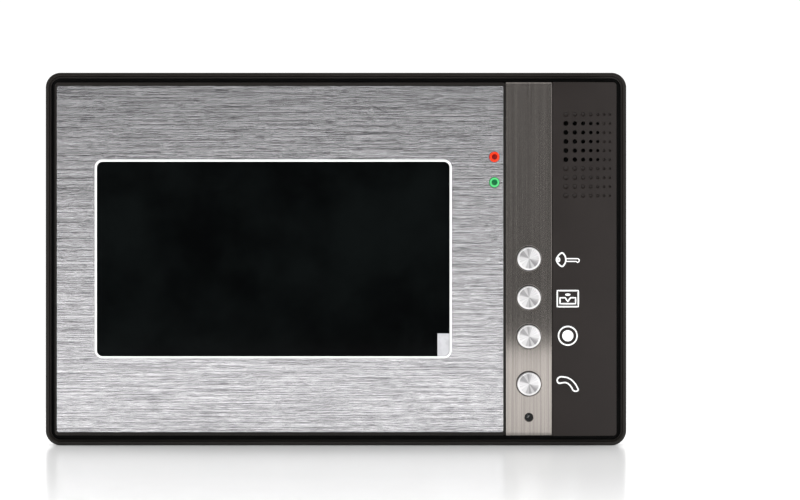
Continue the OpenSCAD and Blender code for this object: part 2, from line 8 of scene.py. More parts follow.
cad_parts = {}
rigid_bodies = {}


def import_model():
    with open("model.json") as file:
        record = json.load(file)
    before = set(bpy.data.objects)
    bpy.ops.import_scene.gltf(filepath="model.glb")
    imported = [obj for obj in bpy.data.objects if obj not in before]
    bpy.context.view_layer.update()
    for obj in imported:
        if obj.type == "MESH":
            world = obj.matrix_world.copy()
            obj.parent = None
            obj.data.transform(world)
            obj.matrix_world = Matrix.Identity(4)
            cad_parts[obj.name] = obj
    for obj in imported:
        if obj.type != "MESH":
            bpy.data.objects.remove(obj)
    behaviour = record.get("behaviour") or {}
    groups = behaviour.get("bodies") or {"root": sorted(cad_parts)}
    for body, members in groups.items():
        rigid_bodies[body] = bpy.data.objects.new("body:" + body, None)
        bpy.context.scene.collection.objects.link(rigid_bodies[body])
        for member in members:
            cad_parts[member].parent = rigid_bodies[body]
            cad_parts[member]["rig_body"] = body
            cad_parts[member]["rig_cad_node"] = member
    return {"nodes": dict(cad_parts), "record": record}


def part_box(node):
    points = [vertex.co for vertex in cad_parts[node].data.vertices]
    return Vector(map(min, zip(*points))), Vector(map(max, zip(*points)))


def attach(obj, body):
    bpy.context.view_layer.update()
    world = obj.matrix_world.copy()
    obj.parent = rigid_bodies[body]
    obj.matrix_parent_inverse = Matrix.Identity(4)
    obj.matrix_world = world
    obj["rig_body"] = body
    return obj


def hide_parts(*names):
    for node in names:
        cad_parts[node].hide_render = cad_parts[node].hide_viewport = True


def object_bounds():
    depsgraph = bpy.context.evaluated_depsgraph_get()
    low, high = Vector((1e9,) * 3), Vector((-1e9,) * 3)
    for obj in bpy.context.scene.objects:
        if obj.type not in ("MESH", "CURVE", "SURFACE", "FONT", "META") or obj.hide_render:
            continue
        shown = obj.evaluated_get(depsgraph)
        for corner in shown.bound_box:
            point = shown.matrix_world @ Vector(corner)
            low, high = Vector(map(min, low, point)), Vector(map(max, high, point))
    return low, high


mm = 0.001
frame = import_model()
cadLow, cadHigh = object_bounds()
slotOf = {part["node"]: part["material_slot"] for part in frame["record"]["subparts"]}
print("frame loaded:", len(frame["nodes"]), "nodes")


# Modelling helpers


def done():
    if bpy.context.object and bpy.context.object.mode != "OBJECT":
        bpy.ops.object.mode_set(mode="OBJECT")


def makeActive(piece):
    done()
    bpy.ops.object.select_all(action="DESELECT")
    piece.select_set(True)
    bpy.context.view_layer.objects.active = piece


def settle(name):  # names the new object and puts its place into its mesh
    piece = bpy.context.object
    piece.name = name
    makeActive(piece)
    bpy.ops.object.transform_apply(location=True, rotation=True, scale=True)
    return piece


def pick(piece, kind, test):  # enters edit mode with what passes the test selected
    makeActive(piece)
    bpy.ops.object.mode_set(mode="EDIT")
    bpy.ops.mesh.select_mode(type=kind)
    bpy.ops.mesh.select_all(action="DESELECT")
    shape = bmesh.from_edit_mesh(piece.data)
    for part in {"VERT": shape.verts, "EDGE": shape.edges, "FACE": shape.faces}[kind]:
        part.select_set(bool(test(part)))
    shape.select_flush_mode()
    bmesh.update_edit_mesh(piece.data)


nearlyOne = 0.999


def edgeWay(edge):
    return (edge.verts[0].co - edge.verts[1].co).normalized()


def alongX(edge):
    return abs(edgeWay(edge).x) > nearlyOne


def alongY(edge):
    return abs(edgeWay(edge).y) > nearlyOne


def facingFront(face):
    return face.normal.y < -nearlyOne


def facingBack(face):
    return face.normal.y > nearlyOne


def roundEdges(piece, test, radius, steps=8):  # rounds the edges that pass the test
    pick(piece, "EDGE", test)
    bpy.ops.mesh.bevel(offset=radius, segments=steps, affect="EDGES", clamp_overlap=False)
    done()


def centreOf(node):  # across and up
    low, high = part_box(node)
    return (low.x + high.x) / 2, (low.z + high.z) / 2


def addBox(name, low, high, corner=0, steps=8):  # corner rounds the four edges that run along Y
    done()
    bpy.ops.object.select_all(action="DESELECT")
    middle = [(a + b) / 2 for a, b in zip(low, high)]
    size = [b - a for a, b in zip(low, high)]
    bpy.ops.mesh.primitive_cube_add(size=1, location=middle, scale=size)
    piece = settle(name)
    if corner:
        roundEdges(piece, alongY, corner, steps)
    return piece


def addRod(name, x, z, radius, front, back, sides=48):  # a round bar along Y
    done()
    bpy.ops.object.select_all(action="DESELECT")
    bpy.ops.mesh.primitive_cylinder_add(
        vertices=sides, radius=radius, depth=back - front,
        location=(x, (front + back) / 2, z), rotation=(math.pi / 2, 0, 0),
    )
    return settle(name)


def stepFaces(piece, test, steps):  # insets the picked faces step by step, each step as (inwards, outwards)
    pick(piece, "FACE", test)
    for inwards, outwards in steps:
        bpy.ops.mesh.inset(thickness=inwards, depth=outwards)
    done()


def roundUp(radius, count):  # steps that turn from a wall to a face
    turns = [math.pi / 2 * k / count for k in range(count + 1)]
    places = [(radius * (1 - math.cos(a)), radius * math.sin(a)) for a in turns]
    return [(b[0] - a[0], b[1] - a[1]) for a, b in zip(places, places[1:])]


def roundDown(radius, count):  # steps that turn from a face into a wall
    return [(outwards, -inwards) for inwards, outwards in reversed(roundUp(radius, count))]


def joined(name, parts):
    makeActive(parts[0])
    for part in parts:
        part.select_set(True)
    if len(parts) > 1:
        bpy.ops.object.join()
    parts[0].name = name
    return parts[0]


def combine(piece, other, how="DIFFERENCE"):
    makeActive(piece)
    change = piece.modifiers.new("combine", "BOOLEAN")
    change.operation = how
    change.solver = "EXACT"
    change.object = other
    bpy.ops.object.modifier_apply(modifier=change.name)
    bpy.data.objects.remove(other)
    return piece


def softEdges(piece, width, steps=2, angle=40):
    makeActive(piece)
    change = piece.modifiers.new("edges", "BEVEL")
    change.width = width
    change.segments = steps
    change.limit_method = "ANGLE"
    change.angle_limit = math.radians(angle)
    change.harden_normals = False
    change.use_clamp_overlap = True
    bpy.ops.object.modifier_apply(modifier=change.name)
    return piece


def smooth(piece, angle=35, weighted=True):
    makeActive(piece)
    bpy.ops.object.shade_smooth_by_angle(angle=math.radians(angle))
    if weighted:
        change = piece.modifiers.new("normals", "WEIGHTED_NORMAL")
        change.keep_sharp = True
        bpy.ops.object.modifier_apply(modifier=change.name)
    return piece


def copied(piece, name, offset):
    twin = piece.copy()
    twin.data = piece.data.copy()
    twin.name = name
    bpy.context.scene.collection.objects.link(twin)
    twin.data.transform(Matrix.Translation(offset))
    return twin


def dress(piece, material):
    piece.data.materials.clear()
    piece.data.materials.append(material)
    return piece


def place(piece, body, material, node=None):  # finish, body, and the CAD node that it stands for
    dress(piece, material)
    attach(piece, body)
    if node:
        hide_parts(node)
    return piece


# Shader maths


class Wire:  # a shader socket that Python's operators work on
    def __init__(self, tree, socket=None):
        self.tree = tree
        self.socket = socket

    def make(self, kind, settings, values, output=0):
        node = self.tree.nodes.new("ShaderNode" + kind)
        for name, value in settings.items():
            setattr(node, name, value)
        for name, value in values.items():
            if isinstance(value, Wire):
                self.tree.links.new(value.socket, node.inputs[name])
            else:
                node.inputs[name].default_value = value
        return Wire(self.tree, node.outputs[output])

    def maths(self, operation, *values):
        return self.make("Math", {"operation": operation}, dict(enumerate(values)))

    def __add__(self, other):
        return self.maths("ADD", self, other)

    def __mul__(self, other):
        return self.maths("MULTIPLY", self, other)

    def __sub__(self, other):
        return self.maths("SUBTRACT", self, other)

    def __rsub__(self, other):
        return self.maths("SUBTRACT", other, self)

    def __truediv__(self, other):
        return self.maths("DIVIDE", self, other)

    def limited(self):
        return self.make("Clamp", {}, {0: self})

    def between(self, low, high):  # 0 below low, 1 above high
        values = {0: self, 1: low, 2: high, 3: 0.0, 4: 1.0}
        return self.make("MapRange", {"interpolation_type": "SMOOTHSTEP"}, values)

    def mixed(self, first, second):  # first where this wire is 0, second where it is 1
        return self.make("Mix", {"data_type": "RGBA"}, {0: self, 6: first, 7: second}, output=2)

    def stretched(self, scale, location=(0, 0, 0)):
        return self.make("Mapping", {}, {"Vector": self, "Scale": scale, "Location": location})

    def noise(self, scale, detail=2.0, roughness=0.5):
        values = {"Vector": self, "Scale": scale, "Detail": detail, "Roughness": roughness}
        return self.make("TexNoise", {}, values)

    def raised(self, height):  # a normal from this wire as a height
        return self.make("Bump", {}, {"Height": self, "Strength": 1.0, "Distance": height})

    def length(self):
        return self.make("VectorMath", {"operation": "LENGTH"}, {0: self}, output="Value")

    def along(self, degrees):  # how far this vector points that way, from -1 to 1 for a unit vector
        angle = math.radians(degrees)
        way = (math.cos(angle), math.sin(angle), 0)
        return self.make("VectorMath", {"operation": "DOT_PRODUCT"}, {0: self, 1: way}, output="Value")


def newFinish(name, constants):
    finish = bpy.data.materials.new(name)
    finish.use_nodes = True
    shader = finish.node_tree.nodes["Principled BSDF"]
    for socket, value in constants.items():
        shader.inputs[socket].default_value = value
    wire = Wire(finish.node_tree)
    return finish, wire.make("TexCoord", {}, {}, output="Object")


def feed(finish, socket, wire):
    shader = finish.node_tree.nodes["Principled BSDF"]
    finish.node_tree.links.new(wire.socket, shader.inputs[socket])


def brushedMetal(name, look):
    finish, coords = newFinish(name, {
        "Metallic": look.get("metallic", 1.0),
        "Anisotropic": look.get("anisotropy", 0.0), "Anisotropic Rotation": look.get("turn", 0.0),
    })
    fine = coords.stretched(look["fineGrain"]).noise(1.0, detail=4.0, roughness=0.75)
    broad = coords.stretched(look["broadGrain"], (3, 1, 2)).noise(1.0, detail=2.0)
    grain = (fine * 0.66 + broad * 0.34).between(0.5 - look["spread"], 0.5 + look["spread"])
    feed(finish, "Base Color", grain.mixed(look["dark"], look["light"]))
    feed(finish, "Roughness", grain * look["roughnessRange"] + look["roughness"])
    if look["depth"]:
        feed(finish, "Normal", grain.raised(look["depth"]))
    return finish


def mouldedPlastic(name, look):
    finish, coords = newFinish(name, {"Specular IOR Level": look.get("gloss", 0.5)})
    texture = coords.noise(look["grain"], detail=2.0, roughness=0.6)
    patches = coords.noise(look.get("patches", 60.0), detail=3.0)
    mottle = (texture * 0.5 + patches * 0.5).between(0.25, 0.75)
    feed(finish, "Base Color", mottle.mixed(look["dark"], look["light"]))
    feed(finish, "Roughness", mottle * 0.12 + look["roughness"])
    feed(finish, "Normal", texture.raised(look["depth"]))
    return finish


def glossFinish(name, look):
    finish, coords = newFinish(name, {
        "Coat Weight": look.get("coat", 0.0), "Coat Roughness": 0.04,
        "Specular IOR Level": look.get("gloss", 0.5), "Metallic": look.get("metallic", 0.0),
    })
    haze = coords.noise(look.get("grain", 90.0), detail=4.0, roughness=0.6).between(0.3, 0.7)
    feed(finish, "Base Color", haze.mixed(look["dark"], look["light"]))
    feed(finish, "Roughness", haze * look.get("haze", 0.05) + look["roughness"])
    return finish


def spunMetal(look):  # painted highlight and painted shade fans round the centre of each cap, a painted glint line and a painted highlight ring on the chamfer, over radial streak grain, from the cap's own UV map
    finish, coords = newFinish("spunMetal", {"Metallic": 1.0})
    flat = coords.make("UVMap", {"uv_map": "turned"}, {})
    spot = flat.make("VectorMath", {"operation": "NORMALIZE"}, {0: flat})
    wide = spot.along(look["paintedFanAngle"])
    thin = spot.along(look["paintedGlintAngle"])
    streaks = spot.noise(6.0, detail=4.0, roughness=0.75)
    # painted highlight: two wide bright fans and a thin bright glint line through the centre, painted shade
    # between them
    grainAndPaintedSheen = (wide * wide).between(0.15, 0.75) * 0.6 + (thin * thin).between(0.94, 0.99) * 0.45
    # random radial streak grain, and a painted highlight ring on the chamfer
    grainAndPaintedSheen = grainAndPaintedSheen + (streaks - 0.5) * 1.7 + 0.12 + flat.length().between(0.82, 0.86)
    grainAndPaintedSheen = grainAndPaintedSheen.limited()
    feed(finish, "Base Color", grainAndPaintedSheen.mixed(look["dark"], look["light"]))
    feed(finish, "Roughness", streaks * 0.1 + look["roughness"])
    return finish


def lampFinish(name, look, lampX, lampZ, radius):  # bright at the rim, dark over the chip
    finish, coords = newFinish(name, {
        "Roughness": 0.15, "Specular IOR Level": 0.15, "Emission Strength": look["glow"],
    })
    across = coords.stretched((1, 0, 1), (-lampX, 0, -lampZ))
    reach = across.length() / radius
    rim = (coords.noise(1400.0, detail=2.0) * 0.3 - 0.1 + reach.between(0.5, 0.72)).limited()
    beyond = reach.between(0.94, 1.0)
    feed(finish, "Base Color", rim.mixed(look["core"], look["body"]))
    feed(finish, "Emission Color", beyond.mixed(rim.mixed(look["core"], look["rim"]), (0, 0, 0, 1)))
    return finish


def boardFinish(name):
    look = {"mask": (0.010, 0.10, 0.035, 1), "track": (0.018, 0.19, 0.07, 1), "pad": (0.55, 0.50, 0.36, 1)}
    finish, coords = newFinish(name, {"Roughness": 0.32, "Coat Weight": 0.5, "Coat Roughness": 0.1})
    flat = coords.stretched((1, 0, 1))
    cells = {"Vector": flat, "Scale": 260.0, "Randomness": 0.55}
    grid = flat.make("TexVoronoi", {"distance": "CHEBYCHEV"}, cells)
    tracks = grid.between(0.36, 0.42)
    dots = flat.make("TexVoronoi", {}, {"Vector": flat, "Scale": 180.0})
    pads = 1 - dots.between(0.10, 0.14)
    feed(finish, "Base Color", pads.mixed(tracks.mixed(look["mask"], look["track"]), look["pad"]))
    feed(finish, "Normal", tracks.raised(0.03 * mm))
    return finish


def frameBlack(look):  # satin rim, and a rougher groove inside it whose colour is darkened as painted shade
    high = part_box("front_case")[1]
    rimY = high.y - look["depth"]
    finish, coords = newFinish("frameBlack", {"Specular IOR Level": 0.27})
    across, depth, up = [coords.make("SeparateXYZ", {}, {0: coords}, output=axis) for axis in "XYZ"]
    sideRim, topRim = high.x - look["rim"], high.z - look["rim"]
    beyondSide = coords.maths("ABSOLUTE", across).between(sideRim, sideRim + 0.3 * mm)
    beyondTop = coords.maths("ABSOLUTE", up).between(topRim, topRim + 0.3 * mm)
    # painted shade: the groove inside the rim gets a darker colour where it lies deep behind the rim
    groove = depth.between(rimY + 0.7 * mm, rimY + 2 * mm) * (1 - beyondSide) * (1 - beyondTop)
    texture = coords.noise(2600.0, detail=2.0, roughness=0.6)
    mottle = (texture * 0.5 + coords.noise(60.0, detail=3.0) * 0.5).between(0.25, 0.75)
    feed(finish, "Base Color", groove.mixed(mottle.mixed(look["dark"], look["light"]), look["groove"]))
    feed(finish, "Roughness", mottle * 0.1 + look["roughness"] + groove * look["grooveRoughness"])
    feed(finish, "Normal", texture.raised(0.012 * mm))
    return finish


frameFinish = frameBlack({
    "depth": 12 * mm, "rim": 2.5 * mm,
    "dark": (0.0080, 0.0062, 0.0050, 1), "light": (0.0120, 0.0098, 0.0082, 1),
    # groove is the painted shade colour of the groove; its extra roughness is real
    "groove": (0.0010, 0.0009, 0.0008, 1), "roughness": 0.36, "grooveRoughness": 0.45,
})
finishes = {
    "shell_black": mouldedPlastic("shellBlack", {
        "dark": (0.0045, 0.0040, 0.0036, 1), "light": (0.0075, 0.0068, 0.0060, 1),
        "grain": 2600.0, "depth": 0.012 * mm, "roughness": 0.36,
    }),
    "brushed_plate": brushedMetal("brushedPlate", {
        "dark": (0.24, 0.24, 0.25, 1), "light": (0.98, 0.965, 0.99, 1), "spread": 0.14,
        "fineGrain": (170.0, 170.0, 4600.0), "broadGrain": (30.0, 30.0, 1900.0),
        "roughness": 0.15, "roughnessRange": 0.02, "depth": 0.014 * mm,
        "anisotropy": 0.8, "turn": 0.25,
    }),
    "dark_strip": brushedMetal("darkStrip", {
        "dark": (0.215, 0.196, 0.181, 1), "light": (0.335, 0.307, 0.284, 1), "spread": 0.16,
        "fineGrain": (2600.0, 12.0, 12.0), "broadGrain": (1300.0, 4.0, 4.0), "metallic": 0.86,
        "roughness": 0.10, "roughnessRange": 0.0, "depth": 0.0,
        "anisotropy": 0.95,
    }),
    "speaker_panel_plastic": mouldedPlastic("speakerPanelSatin", {
        "dark": (0.0100, 0.0068, 0.0058, 1), "light": (0.0150, 0.0110, 0.0096, 1),
        "grain": 3800.0, "depth": 0.010 * mm, "roughness": 0.38, "gloss": 0.29,
    }),
    "screen_black": glossFinish("lensBlack", {
        "dark": (0.0012, 0.0014, 0.0015, 1), "light": (0.0034, 0.0044, 0.0044, 1),
        "roughness": 0.05, "haze": 0.03, "gloss": 0.02, "grain": 22.0,
    }),
    "bright_edge": glossFinish("brightEdge", {
        "dark": (0.90, 0.90, 0.90, 1), "light": (0.98, 0.98, 0.98, 1), "roughness": 0.22,
    }),
    "clear_film": glossFinish("filmTab", {
        "dark": (0.48, 0.48, 0.50, 1), "light": (0.56, 0.56, 0.58, 1), "roughness": 0.25,
    }),
    "spun_metal": spunMetal({
        # light is the painted highlight colour of the fans, glint and chamfer ring; dark is the painted shade
        # between the fans
        "dark": (0.42, 0.41, 0.42, 1), "light": (1.0, 0.985, 0.99, 1), "roughness": 0.24,
        "paintedFanAngle": 32.0, "paintedGlintAngle": 115.0,
    }),
    "white_plastic": mouldedPlastic("whitePlastic", {
        "dark": (0.62, 0.62, 0.60, 1), "light": (0.72, 0.72, 0.70, 1),
        "grain": 2600.0, "depth": 0.01 * mm, "roughness": 0.4,
    }),
    "switch_black": mouldedPlastic("switchBlack", {
        "dark": (0.018, 0.018, 0.018, 1), "light": (0.03, 0.03, 0.03, 1),
        "grain": 3000.0, "depth": 0.01 * mm, "roughness": 0.45,
    }),
    "circuit_board": boardFinish("circuitBoard"),
    "chip_black": mouldedPlastic("chipBlack", {
        "dark": (0.014, 0.014, 0.015, 1), "light": (0.024, 0.024, 0.025, 1),
        "grain": 5200.0, "depth": 0.015 * mm, "roughness": 0.5,
    }),
    "capacitor_sleeve": glossFinish("capacitorSleeve", {
        "dark": (0.012, 0.016, 0.05, 1), "light": (0.02, 0.03, 0.09, 1), "roughness": 0.25,
    }),
    "transformer_tape": glossFinish("transformerTape", {
        "dark": (0.55, 0.32, 0.03, 1), "light": (0.75, 0.48, 0.07, 1), "roughness": 0.28,
    }),
    "header_white": glossFinish("headerWhite", {
        "dark": (0.66, 0.64, 0.57, 1), "light": (0.76, 0.74, 0.68, 1), "roughness": 0.38,
    }),
    "zinc_steel": brushedMetal("zincSteel", {
        "dark": (0.50, 0.50, 0.49, 1), "light": (0.72, 0.72, 0.72, 1), "spread": 0.25,
        "fineGrain": (900.0, 900.0, 240.0), "broadGrain": (180.0, 180.0, 180.0),
        "roughness": 0.28, "roughnessRange": 0.14, "depth": 0.005 * mm,
    }),
    "lcd_black": glossFinish("lcdBlack", {
        "dark": (0.008, 0.009, 0.012, 1), "light": (0.012, 0.013, 0.018, 1), "roughness": 0.06,
    }),
    "diffuser_white": glossFinish("diffuserWhite", {
        "dark": (0.76, 0.77, 0.78, 1), "light": (0.84, 0.85, 0.86, 1), "roughness": 0.5,
    }),
    "flex_amber": glossFinish("flexAmber", {
        "dark": (0.30, 0.12, 0.02, 1), "light": (0.46, 0.21, 0.05, 1), "roughness": 0.2,
    }),
    "speaker_steel": brushedMetal("speakerSteel", {
        "dark": (0.36, 0.36, 0.37, 1), "light": (0.50, 0.50, 0.51, 1), "spread": 0.25,
        "fineGrain": (700.0, 700.0, 700.0), "broadGrain": (120.0, 120.0, 120.0),
        "roughness": 0.35, "roughnessRange": 0.1, "depth": 0.005 * mm,
    }),
    "cone_paper": mouldedPlastic("conePaper", {
        "dark": (0.012, 0.012, 0.011, 1), "light": (0.03, 0.03, 0.028, 1),
        "grain": 1500.0, "depth": 0.06 * mm, "roughness": 0.8,
    }),
    "magnet_plating": glossFinish("magnetPlating", {
        "dark": (0.48, 0.48, 0.50, 1), "light": (0.58, 0.58, 0.60, 1), "metallic": 1.0,
        "roughness": 0.2,
    }),
    "wire_red": glossFinish("wireRed", {
        "dark": (0.32, 0.015, 0.012, 1), "light": (0.45, 0.03, 0.02, 1), "roughness": 0.35,
    }),
    "mic_can": glossFinish("microphoneCan", {
        "dark": (0.66, 0.66, 0.66, 1), "light": (0.78, 0.78, 0.78, 1), "metallic": 1.0,
        "roughness": 0.25,
    }),
    "black_rubber": mouldedPlastic("blackRubber", {
        "dark": (0.005, 0.005, 0.005, 1), "light": (0.012, 0.012, 0.012, 1),
        "grain": 1800.0, "depth": 0.02 * mm, "roughness": 0.6, "gloss": 0.3,
    }),
    "screw_black": glossFinish("screwBlack", {
        "dark": (0.03, 0.03, 0.03, 1), "light": (0.07, 0.07, 0.07, 1), "metallic": 0.7,
        "roughness": 0.35,
    }),
    "wheel_black": mouldedPlastic("wheelBlack", {
        "dark": (0.004, 0.004, 0.0045, 1), "light": (0.009, 0.009, 0.0095, 1),
        "grain": 2600.0, "depth": 0.01 * mm, "roughness": 0.36,
    }),
    "pot_phenolic": mouldedPlastic("potPhenolic", {
        "dark": (0.14, 0.075, 0.03, 1), "light": (0.24, 0.14, 0.06, 1),
        "grain": 900.0, "depth": 0.02 * mm, "roughness": 0.5,
    }),
    "label_silver": glossFinish("labelSilver", {
        "dark": (0.53, 0.54, 0.55, 1), "light": (0.57, 0.58, 0.59, 1), "roughness": 0.35, "grain": 900.0,
    }),
    "bracket_black": mouldedPlastic("powderCoat", {
        "dark": (0.012, 0.012, 0.013, 1), "light": (0.024, 0.025, 0.026, 1),
        "grain": 1500.0, "depth": 0.03 * mm, "roughness": 0.4,
    }),
}
iconInk = glossFinish("iconInk", {
    "dark": (0.86, 0.87, 0.87, 1), "light": (0.96, 0.96, 0.96, 1), "roughness": 0.4,
})
print("finishes made:", len(finishes) + 1)


# Front frame: a rounded rim, a groove inside it, and the raised deck

frontFrame = {
    "depth": 12 * mm, "corner": 6.5 * mm, "rim": 2.4 * mm, "rimRound": 0.9 * mm,
    "groove": 2.4 * mm, "floor": 1.8 * mm, "wall": 2 * mm, "flange": 4.1 * mm,
    "deckHeight": 2 * mm, "deckTop": 76 * mm, "deckStep": 1.4 * mm,
    "deckSkin": 1.6 * mm, "hollowTop": 74.4 * mm, "recessDepth": 0.35 * mm, "recessFront": 2.3 * mm,
    "recessBelow": 8.4 * mm, "recessAbove": 4.8 * mm, "recessCorner": 3 * mm, "soft": 0.12 * mm,
    "stemHole": 3.5 * mm, "lampHole": 2.55 * mm, "micHole": 1.9 * mm, "speakerHole": 11.5 * mm,
}


def makeFrontFrame():
    look = frontFrame
    low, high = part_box("front_case")
    plateLow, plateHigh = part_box("metal_plate")
    stripLow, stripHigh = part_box("button_strip")
    panelLow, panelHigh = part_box("speaker_panel")
    rimY = high.y - look["depth"]
    deckY = rimY - look["deckHeight"]
    grooveY = rimY + look["groove"]
    shellTop = rimY + look["rimRound"]
    shell = addBox("frontFrame", (low.x, shellTop, low.z), (high.x, high.y, high.z), look["corner"], 14)
    flat = look["rim"] - 2 * look["rimRound"]
    steps = roundUp(look["rimRound"], 5) + [(flat, 0)] + roundDown(look["rimRound"], 5)
    steps.append((0, look["rimRound"] - look["groove"]))
    stepFaces(shell, facingFront, steps)
    # The deck under the plate, the strip and the speaker panel
    edge = plateLow.x - 1 * mm
    farSide = panelHigh.x - 1.3 * mm
    step = panelLow.x
    deckHigh = stripHigh.z - 0.2 * mm
    for name, right, top in (("plateDeck", stripLow.x, deckHigh), ("deck", step, look["deckTop"])):
        left = edge if name == "plateDeck" else plateHigh.x - 8 * mm
        deck = addBox(name, (left, deckY, -top), (right, grooveY + 0.4 * mm, top), 1.6 * mm)
        softEdges(deck, 0.3 * mm, 3)
        combine(shell, deck, "UNION")
    lowDeck = addBox("lowDeck", (step - 4 * mm, rimY + look["deckStep"], -look["deckTop"]),
                     (farSide, grooveY + 0.4 * mm, look["deckTop"]), 1 * mm)
    combine(shell, lowDeck, "UNION")
    # Hollow behind the groove's floor and behind the deck
    inner = look["flange"]
    combine(shell, addBox("hollow", (low.x + inner, grooveY + look["floor"], low.z + inner),
                          (high.x - inner, high.y + 1 * mm, high.z - inner), 2.4 * mm))
    skin, tall = look["deckSkin"], look["hollowTop"]
    combine(shell, addBox("deckHollow", (edge + skin, deckY + look["wall"], -tall),
                          (step - skin, grooveY + 4 * mm, tall), 2 * mm))
    # Pocket for the lens and the opening behind it
    lensLow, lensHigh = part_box("window_lens")
    rim = 0.2 * mm
    combine(shell, addBox("lensPocket", (lensLow.x - rim, deckY - 1 * mm, lensLow.z - rim),
                          (lensHigh.x + rim, lensHigh.y + 0.05 * mm, lensHigh.z + rim), 3.2 * mm))
    inside = 1.6 * mm
    combine(shell, addBox("lensOpening", (lensLow.x + inside, deckY - 1 * mm, lensLow.z + inside),
                          (lensHigh.x - inside, grooveY, lensHigh.z - inside), 2.6 * mm))
    # Holes for the stems, lamps, microphone and speaker
    radii = {button + "_stem": look["stemHole"] for button in buttonNames}
    radii.update({lamp: look["lampHole"] for lamp in lampNames})
    radii["mic_boot"] = look["micHole"]
    holes = []
    for node, radius in radii.items():
        holes.append(addRod("hole", *centreOf(node), radius, deckY - 1 * mm, grooveY, 32))
    holes.append(addRod("hole", *centreOf("speaker_frame"), look["speakerHole"], deckY, grooveY + 3 * mm, 64))
    combine(shell, joined("holes", holes))
    # Shallow panel on the right side, beside the thumbwheels
    bottom = centreOf("talk_volume_wheel")[1] - look["recessBelow"]
    top = centreOf("brightness_wheel")[1] + look["recessAbove"]
    sideX, sideY = high.x - look["recessDepth"], rimY + look["recessFront"]
    recess = addBox("sidePanel", (sideX, sideY, bottom), (sideX + 2 * mm, high.y + 4 * mm, top))
    frontEdge = lambda edge: alongX(edge) and edge.verts[0].co.y < sideY + 0.1 * mm
    roundEdges(recess, frontEdge, look["recessCorner"])
    combine(shell, recess)
    softEdges(shell, look["soft"], 2, 50)
    smooth(shell, 30)
    return place(shell, "monitor", frameFinish, "front_case")


buttonNames = ["unlock", "view", "capture", "talk"]
lampNames = ["red_led", "green_led"]
wheelNames = ["brightness", "contrast", "ring_volume", "talk_volume"]
makeFrontFrame()
print("front frame made")


# Brushed plate, window and film tab

plateEdge = {"corner": 0.8 * mm, "soft": 0.18 * mm, "windowCorner": 3.5 * mm, "lampHole": 2.35 * mm}


def makePlate():
    look = plateEdge
    low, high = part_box("metal_plate")
    plate = addBox("brushedPlate", low, high, look["corner"], 6)
    trimLow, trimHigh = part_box("window_trim")
    gap = 0.05 * mm
    combine(plate, addBox("window", (trimLow.x - gap, low.y - 1 * mm, trimLow.z - gap),
                          (trimHigh.x + gap, high.y + 1 * mm, trimHigh.z + gap), look["windowCorner"], 12))
    front, back = low.y - 1 * mm, high.y + 1 * mm
    holes = [addRod("hole", *centreOf(lamp), look["lampHole"], front, back) for lamp in lampNames]
    combine(plate, joined("holes", holes))
    softEdges(plate, look["soft"], 2)
    smooth(plate, 30)
    return place(plate, "monitor", finishes["brushed_plate"], "metal_plate")


def makeTrim():
    low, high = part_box("window_trim")
    width = 0.9 * mm
    edge = 0.12 * mm
    trim = addBox("windowTrim", (low.x, low.y + edge, low.z), high, 3.5 * mm, 12)
    stepFaces(trim, facingFront, [(edge, edge)])
    combine(trim, addBox("opening", (low.x + width, low.y - 1 * mm, low.z + width),
                         (high.x - width, high.y + 1 * mm, high.z - width), 2.6 * mm, 12))
    smooth(trim, 30)
    return place(trim, "monitor", finishes["bright_edge"], "window_trim")


def makeLens():
    low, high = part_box("window_lens")
    edge = 0.1 * mm
    lens = addBox("windowLens", (low.x, low.y + edge, low.z), high, 3 * mm, 12)
    stepFaces(lens, facingFront, [(edge, edge)])
    smooth(lens, 30)
    return place(lens, "monitor", finishes["screen_black"], "window_lens")


def makeFilmTab():
    low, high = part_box("film_tab")
    tab = addBox("filmTab", low, high)
    middle = (low + high) / 2
    lowerRight = lambda edge: alongY(edge) and edge.verts[0].co.x > middle.x and edge.verts[0].co.z < middle.z
    roundEdges(tab, lowerRight, 2.6 * mm)
    stepFaces(tab, facingFront, [(0.25 * mm, 0), (0.1 * mm, -0.03 * mm)])
    smooth(tab, 30)
    return place(tab, "monitor", finishes["clear_film"], "film_tab")


makePlate()
makeTrim()
makeLens()
makeFilmTab()
print("plate and window made")


# Button strip and speaker panel

stripLook = {
    "bend": 1.6 * mm, "metal": 1 * mm, "front": 1.4 * mm, "buttonGap": 0.25 * mm, "micHole": 1.8 * mm,
    "soft": 0.3 * mm,
}


def makeStrip():
    look = stripLook
    low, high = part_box("button_strip")
    strip = addBox("buttonStrip", low, high)
    roundEdges(strip, lambda edge: alongX(edge) and edge.verts[0].co.y < low.y + 0.1 * mm, look["bend"])
    metal = look["metal"]
    combine(strip, addBox("channel", (low.x - 1 * mm, low.y + look["front"], low.z + metal),
                          (high.x + 1 * mm, high.y + 1 * mm, high.z - metal)))
    front, back = low.y - 1 * mm, low.y + 3 * mm
    capLow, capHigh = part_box("unlock_cap")
    radius = (capHigh.x - capLow.x) / 2 + look["buttonGap"]
    holes = [addRod("hole", *centreOf(button + "_cap"), radius, front, back, 64) for button in buttonNames]
    holes.append(addRod("hole", *centreOf("mic_boot"), look["micHole"], front, back, 40))
    combine(strip, joined("holes", holes))
    softEdges(strip, look["soft"], 2)
    smooth(strip, 30)
    return place(strip, "monitor", finishes["dark_strip"], "button_strip")


panelLook = {
    "drop": 2.5 * mm, "wall": 1.8 * mm, "corner": 1.4 * mm, "soft": 0.35 * mm, "dimple": 0.62 * mm,
    "columns": 7, "rows": 10, "openColumns": 5, "openRows": 5, "firstX": 5.9 * mm,
    "firstZ": 63.1 * mm, "rowPitch": 3.94 * mm, "columnPitch": 4.06 * mm, "closing": 0.14 * mm,
    "holeRadius": 1.1 * mm, "shrink": 0.095 * mm,
}


